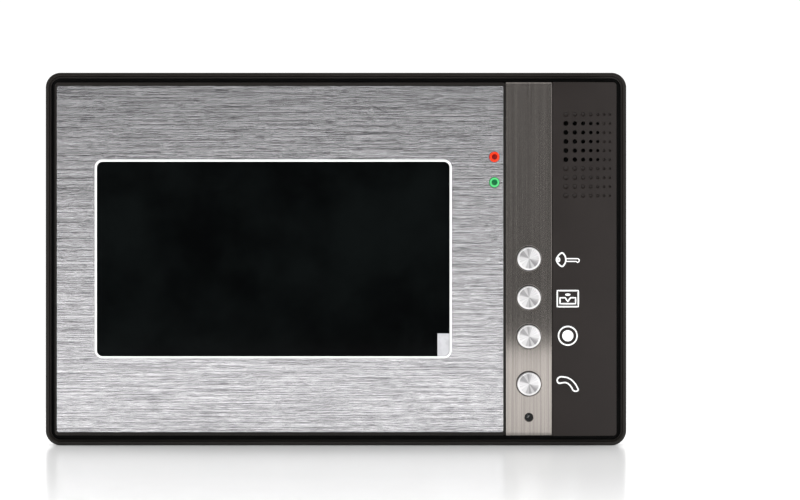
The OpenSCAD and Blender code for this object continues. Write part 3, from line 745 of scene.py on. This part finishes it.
def addPanelBar(name, radius, faceY, x, bottom, top):  # the long round bar whose side is the panel's curve
    done()
    bpy.ops.object.select_all(action="DESELECT")
    bpy.ops.mesh.primitive_cylinder_add(vertices=720, radius=radius, depth=top - bottom,
                                        location=(x, faceY + radius, (top + bottom) / 2))
    return settle(name)


def addBall(name, x, y, z, radius, depth):  # a flattened ball that reaches depth into the surface at y
    done()
    bpy.ops.object.select_all(action="DESELECT")
    bpy.ops.mesh.primitive_uv_sphere_add(segments=20, ring_count=10, radius=radius, location=(x, y, z),
                                         rotation=(math.pi / 2, 0, 0), scale=(1, 1, depth / radius))
    return settle(name)


def makeSpeakerPanel():
    look = panelLook
    low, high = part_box("speaker_panel")
    run = high.x - low.x
    radius = (run**2 + look["drop"] ** 2) / (2 * look["drop"])
    panel = addBox("speakerPanel", (low.x, low.y - 1 * mm, low.z), high)
    rightCorners = lambda edge: alongY(edge) and edge.verts[0].co.x > low.x + run / 2
    roundEdges(panel, rightCorners, look["corner"])
    combine(panel, addPanelBar("curve", radius, low.y, low.x, low.z - 1 * mm, high.z + 1 * mm), "INTERSECT")
    softEdges(panel, look["soft"], 3, 50)
    wall = look["wall"]
    hollow = addBox("hollow", (low.x - 1 * mm, low.y - 1 * mm, low.z + 1.15 * mm),
                    (high.x - 1.2 * mm, high.y + 1 * mm, high.z - 1.15 * mm))
    combine(hollow, addPanelBar("curve", radius - wall, low.y + wall, low.x, low.z, high.z), "INTERSECT")
    combine(panel, hollow)
    cuts = []
    for i in range(look["columns"]):
        x = low.x + look["firstX"] + look["columnPitch"] * i - look["closing"] * i * i
        surface = low.y + radius - math.sqrt(radius**2 - (x - low.x) ** 2)
        holeRadius = look["holeRadius"] - look["shrink"] * i
        for j in range(look["rows"]):
            z = look["firstZ"] - j * look["rowPitch"]
            if i < look["openColumns"] and 0 < j <= look["openRows"]:
                cuts.append(addRod("hole", x, z, holeRadius, low.y - 1 * mm, high.y, 24))
            else:
                cuts.append(addBall("dimple", x, surface, z, holeRadius * 1.05, look["dimple"]))
    combine(panel, joined("holes", cuts))
    smooth(panel, 30)
    return place(panel, "monitor", finishes["speaker_panel_plastic"], "speaker_panel")


makeStrip()
makeSpeakerPanel()
print("strip and speaker panel made")


# Buttons: a chamfered cap whose face is turned in fine rings

capLook = {
    "chamfer": 0.4 * mm, "rings": 23, "ringStep": 0.1 * mm, "slope": 9.0, "slopeRange": 5.0, "sides": 96,
}


def makeCaps():
    look = capLook
    low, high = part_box("unlock_cap")
    x, z = centreOf("unlock_cap")
    radius = (high.x - low.x) / 2
    first = addRod("unlockCap", x, z, radius, low.y + look["chamfer"], high.y, look["sides"])
    steps = roundUp(look["chamfer"], 4)
    for k in range(look["rings"]):
        slope = math.radians(look["slope"] + look["slopeRange"] * math.sin(2.4 * k))
        depth = look["ringStep"] * math.tan(slope)
        steps += [(look["ringStep"], -depth), (look["ringStep"], depth)]
    stepFaces(first, facingFront, steps)
    smooth(first, 20, weighted=False)
    turned = radius - look["chamfer"] - 0.01 * mm
    for face in first.data.polygons:
        reach = math.hypot(face.center.x - x, face.center.z - z)
        face.use_smooth = not (reach < turned and face.center.y < low.y + look["chamfer"] / 2)
    turnedMap = first.data.uv_layers.new(name="turned")
    for loop in first.data.loops:
        spot = first.data.vertices[loop.vertex_index].co
        turnedMap.data[loop.index].uv = ((spot.x - x) / radius, (spot.z - z) / radius)
    caps = {"unlock": first}
    for button in buttonNames[1:]:
        caps[button] = copied(first, button + "Cap", (0, 0, centreOf(button + "_cap")[1] - z))
    for button, cap in caps.items():
        place(cap, button + "_button", finishes["spun_metal"], button + "_cap")


makeCaps()


# Lamps: a round dome on a body with a flange and two legs

lampLooks = {
    "red_led": {
        "rim": (1.0, 0.045, 0.01, 1), "body": (0.55, 0.02, 0.005, 1), "core": (0.09, 0.002, 0.002, 1),
        "glow": 0.8,
    },
    "green_led": {
        "rim": (0.10, 0.72, 0.22, 1), "body": (0.04, 0.28, 0.09, 1), "core": (0.001, 0.06, 0.018, 1),
        "glow": 0.7,
    },
}
lampShape = {
    "radius": 2.15 * mm, "body": 7.4 * mm, "flange": 2.85 * mm, "flangeDepth": 1 * mm,
    "legs": 1.27 * mm, "leg": 0.25 * mm,
}


def makeLamp(node):
    look = lampShape
    low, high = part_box(node)
    x, z = centreOf(node)
    dome = addRod(node + "Dome", x, z, look["radius"], low.y, low.y + look["body"])
    pick(dome, "FACE", facingFront)
    bpy.ops.mesh.region_to_loop()
    bpy.ops.mesh.bevel(offset=look["radius"] * 0.985, segments=12, affect="EDGES", clamp_overlap=False)
    done()
    flangeY = low.y + look["body"]
    flange = addRod("flange", x, z, look["flange"], flangeY - 0.01 * mm, flangeY + look["flangeDepth"])
    softEdges(flange, 0.15 * mm)
    legY = flangeY + look["flangeDepth"] - 0.01 * mm
    legs = [addRod("leg", x + side * look["legs"], z, look["leg"], legY, high.y, 12) for side in (-1, 1)]
    lamp = joined(node + "Lamp", [dome, flange] + legs)
    smooth(lamp, 40)
    finish = lampFinish(node + "Lens", lampLooks[node], x, z, look["radius"])
    return place(lamp, "monitor", finish, node)


for lamp in lampNames:
    makeLamp(lamp)
print("buttons and lamps made")


# Printed icons, as points given in millimetres across and up from the button's centre

iconLook = {"line": 0.63 * mm, "offset": 6.75 * mm, "relief": 0.12}
keyBow = [(-5.0, 0.0), (-4.5, 1.25), (-3.2, 2.65), (-2.45, 2.95), (-1.7, 2.35), (-0.95, 0.8),
          (-0.95, -0.8), (-1.7, -2.35), (-2.45, -2.95), (-3.2, -2.65), (-4.5, -1.25)]
keyHole = [(-4.35, 0.0), (-3.95, 0.75), (-3.55, 0.0), (-3.95, -0.75)]
keyShaft = [(-0.8, 0.45), (4.5, 0.45), (5.0, 0.0), (4.9, -0.9), (4.3, -1.2), (3.7, -0.75), (-0.8, -0.75)]
viewBox = [(-4.6, 3.5), (4.6, 3.5), (4.6, -3.5), (-4.6, -3.5)]
viewBook = [(-3.4, 0.4), (-1.15, 0.4), (0.0, -1.3), (1.15, 0.4), (3.4, 0.4), (3.4, -2.2), (-3.4, -2.2)]
handset = [(-4.6, 1.8), (-3.6, 2.85), (-1.6, 2.9), (0.75, 2.2), (2.8, 0.45), (4.15, -1.65), (4.5, -2.75),
           (3.75, -3.3), (2.5, -3.0), (1.65, -1.7), (0.45, -0.25), (-0.85, 0.45), (-2.35, 0.4), (-3.9, 0.25),
           (-4.5, 0.85)]


def ring(radius, count=24):
    turns = [2 * math.pi * k / count for k in range(count)]
    return [(radius * math.cos(a), radius * math.sin(a)) for a in turns]


def filledIn(points, gap=1.0):  # a closed line's corners with points between them
    result = []
    for start, end in zip(points, points[1:] + points[:1]):
        count = max(1, round(math.dist(start, end) / gap))
        for k in range(count):
            result.append(tuple(a + (b - a) * k / count for a, b in zip(start, end)))
    return result


def addStroke(name, points, line, curved, whole=True):  # a round line along the points
    points = points if curved else filledIn(points)
    done()
    bpy.ops.object.select_all(action="DESELECT")
    bpy.ops.curve.primitive_bezier_circle_add()
    path = bpy.context.object
    path.name = name
    path.data.splines.clear()
    spline = path.data.splines.new("BEZIER")
    spline.bezier_points.add(len(points) - 1)
    for handle, (across, up) in zip(spline.bezier_points, points):
        handle.co = (across * mm, 0, up * mm)
        handle.handle_left_type = handle.handle_right_type = "AUTO" if curved else "VECTOR"
    spline.use_cyclic_u = whole
    spline.resolution_u = 8
    path.data.dimensions = "3D"
    path.data.bevel_depth = line / 2
    path.data.bevel_resolution = 2
    path.data.use_fill_caps = True
    makeActive(path)
    bpy.ops.object.convert(target="MESH")
    return settle(name)


def addDisc(name, radius, flat=1.0, up=0.0):
    disc = addRod(name, 0, 0, radius * mm, -0.2 * mm, 0.2 * mm, 40)
    disc.data.transform(Matrix.Diagonal((1, 1, flat, 1)))
    disc.data.transform(Matrix.Translation((0, 0, up * mm)))
    stepFaces(disc, facingFront, [(0.05 * mm, 0.05 * mm)])
    return disc


def makeIcon(name, button, strokes, up=0.0):
    icon = joined(name, strokes)
    low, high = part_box("speaker_panel")
    run = high.x - low.x
    z = centreOf(button + "_cap")[1] + up * mm
    icon.data.transform(Matrix.Diagonal((1, iconLook["relief"], 1, 1)))
    icon.data.transform(Matrix.Translation((low.x + iconLook["offset"], low.y, z)))
    for point in icon.data.vertices:  # the ink follows the panel's curve
        point.co.y += panelLook["drop"] * ((point.co.x - low.x) / run) ** 2
    smooth(icon, 40, weighted=False)
    return place(icon, "monitor", iconInk)


inkLine = iconLook["line"]
makeIcon("keyIcon", "unlock", [
    addStroke("bow", keyBow, inkLine, True), addStroke("hole", keyHole, inkLine * 0.8, True),
    addStroke("shaft", keyShaft, inkLine * 0.75, False),
], up=-0.5)
makeIcon("viewIcon", "view", [
    addStroke("frame", viewBox, inkLine, False), addStroke("book", viewBook, inkLine, False),
    addDisc("eye", 1.2, 0.42, 1.75),
], up=-0.5)
makeIcon("captureIcon", "capture", [
    addStroke("ring", ring(4.05), inkLine, True), addDisc("dot", 2.45),
], up=0.3)
makeIcon("handsetIcon", "talk", [addStroke("handset", handset, inkLine, True)])
print("icons made")


# Rear case: a tray with sloping sides, and the block at the thumbwheels

rearLook = {
    "slopeStart": 4.7 * mm, "slope": 15 * mm, "corner": 4.8 * mm, "wall": 2 * mm, "lip": 4 * mm,
    "blockTop": 35 * mm, "blockBottom": -58 * mm, "blockInset": 16 * mm, "blockDepth": 0.5 * mm,
    "post": 4.6 * mm, "wellRadius": 3.4 * mm, "screwHole": 1.7 * mm,
    "slot": (11.8 * mm, 2.45 * mm), "slotCorner": 0.6 * mm, "vents": 9, "firstVent": 58, "ventStep": 4,
}


def addTray(name, low, high, slopeY, slope, backY):  # a box whose back tapers by slope on all sides
    tray = addBox(name, (low.x, low.y, low.z), (high.x, slopeY, high.z))
    pick(tray, "FACE", facingBack)
    bpy.ops.mesh.extrude_region_move(TRANSFORM_OT_translate={"value": (0, backY - slopeY, 0)})
    wide, tall = high.x - low.x, high.z - low.z
    bpy.ops.transform.resize(value=((wide - 2 * slope) / wide, 1, (tall - 2 * slope) / tall),
                             center_override=((low.x + high.x) / 2, backY, (low.z + high.z) / 2))
    done()
    return tray


def makeRearCase():
    look = rearLook
    low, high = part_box("rear_case")
    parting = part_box("front_case")[1].y
    slopeY = parting + look["slopeStart"]
    tray = addTray("rearCase", low, high, slopeY, look["slope"], high.y)
    combine(tray, addBox("outline", (low.x, low.y - 1 * mm, low.z), (high.x, high.y + 1 * mm, high.z),
                         look["corner"], 10), "INTERSECT")
    softEdges(tray, 0.8 * mm, 4, 12)
    block = addBox("block", (high.x - look["blockInset"], parting, look["blockBottom"]),
                   (high.x, high.y - look["blockDepth"], look["blockTop"]))
    softEdges(block, 0.7 * mm, 4)
    combine(tray, block, "UNION")
    wall = look["wall"]
    gradient = (high.y - slopeY) / look["slope"]
    deeper = wall * math.sqrt(1 + gradient**2)
    innerLow = Vector((low.x + wall, low.y - 1 * mm, low.z + wall))
    innerHigh = Vector((high.x - wall, high.y, high.z - wall))
    innerSlopeY = slopeY - deeper + wall * gradient
    innerSlope = look["slope"] + (deeper - wall) / gradient - wall
    hollow = addTray("hollow", innerLow, innerHigh, innerSlopeY, innerSlope, high.y - wall)
    combine(tray, hollow)
    hollowLow = (high.x - look["blockInset"] - 5 * mm, low.y - 1 * mm, look["blockBottom"] + wall)
    hollowHigh = (high.x - wall, high.y - look["blockDepth"] - wall, look["blockTop"] - wall)
    combine(tray, addBox("blockHollow", hollowLow, hollowHigh, 0.8 * mm))
    addScrewPosts(tray, parting)
    cutRearOpenings(tray, low, high)
    smooth(tray, 30)
    return place(tray, "monitor", finishes["shell_black"], "rear_case")


def screwPlaces():
    low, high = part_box("case_screws")
    head = 2.9 * mm
    columns = (low.x + head, (low.x + high.x) / 2, high.x - head)
    return [(x, z) for x in columns for z in (low.z + head, high.z - head)]


def addScrewPosts(tray, parting):
    look = rearLook
    trayLow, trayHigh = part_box("rear_case")
    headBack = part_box("case_screws")[1].y
    for x, z in screwPlaces():
        post = addRod("post", x, z, look["post"], parting + 0.1 * mm, trayHigh.y + 2 * mm, 40)
        limit = addTray("limit", Vector((trayLow.x + 0.1 * mm, parting - 3 * mm, trayLow.z + 0.1 * mm)),
                        Vector((trayHigh.x - 0.1 * mm, trayHigh.y, trayHigh.z - 0.1 * mm)),
                        parting + look["slopeStart"] - 0.1 * mm, look["slope"], trayHigh.y - 0.1 * mm)
        combine(post, limit, "INTERSECT")
        combine(tray, post, "UNION")
        combine(tray, addRod("well", x, z, look["wellRadius"], headBack - 2 * mm, trayHigh.y + 3 * mm, 40))
        combine(tray, addRod("bore", x, z, look["screwHole"], parting - 1 * mm, trayHigh.y + 3 * mm, 32))


def addPane(low, high, corner):
    return addBox("pane", low, high, corner, 5)


def cutRearOpenings(tray, low, high):
    look = rearLook
    cuts = []
    tall, wide = look["slot"]
    for wheel in wheelNames:
        wheelLow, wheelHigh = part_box(wheel + "_wheel")
        z = centreOf(wheel + "_wheel")[1]
        y = wheelLow.y + (wheelHigh.y - wheelLow.y) * 0.63
        slot = addBox("slot", (high.x - 4 * mm, y - wide / 2, z - tall / 2),
                      (high.x + 1 * mm, y + wide / 2, z + tall / 2))
        roundEdges(slot, alongX, look["slotCorner"], 4)
        cuts.append(slot)
    inner, outer = high.y - 3 * mm, high.y + 1 * mm
    for x in (-38 * mm, 38 * mm):
        for z in (-24 * mm, 36 * mm):
            hookLow, hookHigh = (x - 4.5 * mm, inner, z - 11.1 * mm), (x + 4.5 * mm, outer, z + 0.1 * mm)
            cuts.append(addPane(hookLow, hookHigh, 0.4 * mm))
    cuts.append(addPane((-21 * mm, inner, -7 * mm), (21 * mm, outer, 7 * mm), 1.5 * mm))
    for k in range(look["vents"]):
        for side in (-1, 1):
            x = side * (look["firstVent"] + look["ventStep"] * k) * mm
            cuts.append(addPane((x - 0.9 * mm, inner, 11 * mm), (x + 0.9 * mm, outer, 33 * mm), 0.85 * mm))
    labelLow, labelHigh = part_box("rating_label")
    edge = 0.2 * mm
    cuts.append(addPane((labelLow.x - edge, high.y - 0.3 * mm, labelLow.z - edge),
                        (labelHigh.x + edge, outer, labelHigh.z + edge), 1 * mm))
    combine(tray, joined("cuts", cuts))


makeRearCase()
print("rear case made")


# Marks in the shallow panel beside the thumbwheels, each with a ramp

markLook = {"line": 0.4 * mm, "relief": 1.4, "ahead": 4.6 * mm, "below": 2 * mm}
bellOutline = [(-2.2, -1.5), (-1.2, -0.8), (-0.8, 1.3), (0, 2), (0.8, 1.3), (1.2, -0.8), (2.2, -1.5)]
hornOutline = [(-2, -0.7), (-1, -0.7), (0.2, -1.8), (0.2, 1.8), (-1, 0.7), (-2, 0.7)]
rampOutline = [(-2.4, -4.1), (2.4, -4.1), (-2.4, -3.2)]


def addArc(radius, reach, count=8):
    turns = [math.radians(reach * (2 * k / count - 1)) for k in range(count + 1)]
    points = [(radius * math.cos(a), radius * math.sin(a)) for a in turns]
    return addStroke("arc", points, markLook["line"], True, whole=False)


def addSun():
    line = markLook["line"]
    rays = []
    for k in range(8):
        a = math.pi * k / 4
        ends = [(r * math.cos(a), r * math.sin(a)) for r in (1.7, 2.5)]
        rays.append(addStroke("ray", ends, line, True, whole=False))
    return [addStroke("sun", ring(1.1, 16), line, True)] + rays


def addHalfDisc():
    disc = addDisc("half", 1.75)
    makeActive(disc)
    bpy.ops.object.mode_set(mode="EDIT")
    bpy.ops.mesh.select_all(action="SELECT")
    bpy.ops.mesh.bisect(plane_co=(0, 0, 0), plane_no=(1, 0, 0), use_fill=True, clear_outer=True)
    done()
    return disc


def makeMarks():
    line = markLook["line"]
    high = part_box("front_case")[1]
    x = high.x - frontFrame["recessDepth"]
    y = high.y - markLook["ahead"]
    shapes = {
        "brightness": addSun,
        "contrast": lambda: [addStroke("rim", ring(1.9, 20), line, True), addHalfDisc()],
        "ring_volume": lambda: [addStroke("bell", bellOutline, line, True),
                                addDisc("clapper", 0.4, 1.0, -2.1)],
        "talk_volume": lambda: [addStroke("horn", hornOutline, line, False),
                                addArc(1.0, 55), addArc(1.9, 42)],
    }
    marks = []
    for wheel, shape in shapes.items():
        mark = joined("mark", shape() + [addStroke("ramp", rampOutline, line, False)])
        z = centreOf(wheel + "_wheel")[1] - markLook["below"]
        turn = Matrix(((0, -markLook["relief"], 0, x), (0, 0, -1, y), (1, 0, 0, z), (0, 0, 0, 1)))
        mark.data.transform(turn)
        marks.append(mark)
    marks = joined("sideMarks", marks)
    smooth(marks, 40, weighted=False)
    return place(marks, "monitor", frameFinish)


makeMarks()
print("side marks made")


# Rubber feet


def makeFeet():
    low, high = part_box("rear_feet")
    radius, stemRadius = 3.85 * mm, 1.6 * mm
    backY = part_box("rear_case")[1].y
    dome = addRod("foot", low.x + radius, low.z + radius, radius, backY + 0.01 * mm, high.y)
    pick(dome, "FACE", facingBack)
    bpy.ops.mesh.region_to_loop()
    bpy.ops.mesh.bevel(offset=(high.y - backY) * 0.9, segments=8, affect="EDGES", clamp_overlap=False)
    done()
    stem = addRod("stem", low.x + radius, low.z + radius, stemRadius, low.y, backY + 0.5 * mm, 24)
    first = joined("rearFeet", [dome, stem])
    across, up = high.x - low.x - 2 * radius, high.z - low.z - 2 * radius
    feet = [first]
    for offset in ((across, 0, 0), (0, 0, up), (across, 0, up)):
        feet.append(copied(first, "foot", offset))
    feet = joined("rearFeet", feet)
    smooth(feet, 40)
    return place(feet, "monitor", finishes["black_rubber"], "rear_feet")


makeFeet()
print("feet made")


# Softer copies of CAD nodes whose shape is right but whose edges are sharp

softNodes = {
    "wall_bracket": 0.12 * mm, "case_screws": 0.12 * mm, "rating_label": 0.05 * mm,
    "door_header_1": 0.1 * mm, "door_header_2": 0.1 * mm, "power_header": 0.1 * mm,
    "chips": 0.08 * mm, "capacitors": 0.2 * mm, "inverter_transformer": 0.2 * mm,
}


def softCopy(node, width):
    source = frame["nodes"][node]
    piece = source.copy()
    piece.data = source.data.copy()
    piece.parent = None
    piece.name = "soft_" + node
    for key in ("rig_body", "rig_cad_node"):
        if key in piece:
            del piece[key]
    bpy.context.scene.collection.objects.link(piece)
    makeActive(piece)
    if piece.data.has_custom_normals:
        bpy.ops.mesh.customdata_custom_splitnormals_clear()
    bpy.ops.object.mode_set(mode="EDIT")
    bpy.ops.mesh.select_all(action="SELECT")
    bpy.ops.mesh.remove_doubles(threshold=0.0005 * mm)
    bpy.ops.mesh.dissolve_limited(angle_limit=math.radians(0.5))
    done()
    softEdges(piece, width, 2, 35)
    smooth(piece, 30)
    return piece


def makeSoftCopies():
    for node, width in softNodes.items():
        body = next(name for name, nodes in frame["record"]["behaviour"]["bodies"].items() if node in nodes)
        place(softCopy(node, width), body, finishes[slotOf[node]], node)


makeSoftCopies()
print("soft copies made:", len(softNodes))


# The CAD nodes that stay get their finishes


def dressNodes():
    for name, node in frame["nodes"].items():
        if not node.hide_render:
            dress(node, finishes[slotOf[name]])


dressNodes()
print("CAD nodes dressed")


# Floor, lights and camera

floorLook = {
    "half": 2.4, "front": -1.7, "back": 0.5, "thick": 0.02, "colour": (0.99, 0.99, 0.99, 1),
    "mirror": 0.56, "haze": 0.17, "fadeFrom": 0.22, "fadeTo": 0.6,
}


def makeFloor():
    look = floorLook
    floor = addBox("floor", (-look["half"], look["front"], cadLow.z - look["thick"]),
                   (look["half"], look["back"], cadLow.z))
    finish = bpy.data.materials.new("paleFloor")
    finish.use_nodes = True
    wire = Wire(finish.node_tree)
    matt = wire.make("BsdfDiffuse", {}, {"Color": look["colour"]})
    sheen = wire.make("BsdfGlossy", {}, {"Color": look["colour"], "Roughness": look["haze"]})
    seen = wire.make("LightPath", {}, {}, output="Is Camera Ray")
    both = wire.make("MixShader", {}, {0: seen * look["mirror"], 1: matt, 2: sheen})
    ground = wire.make("TexCoord", {}, {}, output="Object").stretched((1, 1, 0))
    far = ground.length().between(look["fadeFrom"], look["fadeTo"])
    glow = wire.make("Emission", {}, {"Color": studioLook["seen"]})
    whole = wire.make("MixShader", {}, {0: seen * far, 1: both, 2: glow})
    finish.node_tree.links.new(whole.socket, finish.node_tree.nodes["Material Output"].inputs["Surface"])
    dress(floor, finish)


def addLight(name, where, target, size, power):
    done()
    bpy.ops.object.select_all(action="DESELECT")
    bpy.ops.object.light_add(type="AREA", location=where)
    light = bpy.context.object
    light.name = name
    light.data.shape = "RECTANGLE"
    light.data.size, light.data.size_y = size
    light.data.energy = power
    light.rotation_euler = (Vector(target) - Vector(where)).to_track_quat("-Z", "Y").to_euler()
    return light


studioLook = {"room": (0.15, 0.152, 0.152, 1), "backdrop": (1.05, 1.05, 1.05, 1), "seen": (1.1, 1.1, 1.1, 1)}


def makeWorld():
    look = studioLook
    world = bpy.data.worlds.new("studio")
    bpy.context.scene.world = world
    world.use_nodes = True
    tree = world.node_tree
    wire = Wire(tree)
    direction = wire.make("TexCoord", {}, {}, output="Generated")
    away = direction.make("SeparateXYZ", {}, {0: direction}, output="Y")
    seen = wire.make("LightPath", {}, {}, output="Is Camera Ray")
    around = away.between(-0.4, 0.4).mixed(look["room"], look["backdrop"])
    colour = seen.mixed(around, look["seen"])
    tree.links.new(colour.socket, tree.nodes["Background"].inputs["Color"])
    bpy.context.scene.view_settings.view_transform = "Standard"


cameraPlace = {"distance": 1.5, "viewWidth": 0.3491, "shiftX": 0.08, "shiftY": 0.01125}


def makeCamera():
    data = bpy.data.cameras.new("camera")
    camera = bpy.data.objects.new("camera", data)
    bpy.context.scene.collection.objects.link(camera)
    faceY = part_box("metal_plate")[0].y
    camera.location = (0, faceY - cameraPlace["distance"], 0)
    camera.rotation_euler = (math.pi / 2, 0, 0)
    data.lens = data.sensor_width * cameraPlace["distance"] / cameraPlace["viewWidth"]
    data.shift_x = cameraPlace["shiftX"]
    data.shift_y = cameraPlace["shiftY"]
    bpy.context.scene.camera = camera


makeFloor()
makeWorld()
overhead = addLight("overhead", (0, -0.55, 1.7), (0, -0.5, 0), (3.2, 2.8), 56.0)
overhead.visible_glossy = False
addLight("leftPanel", (-1.4, -1.2, 0.25), (0, 0, 0), (1.1, 1.2), 3.2)
addLight("rightPanel", (1.15, -1.3, 0.5), (0, 0, 0), (1.1, 1.1), 4.6)
frontFill = addLight("frontFill", (0, -2.3, 0.7), (0, 0, 0), (2.0, 1.4), 20.0)
frontFill.visible_glossy = False
makeCamera()
print("stage made")
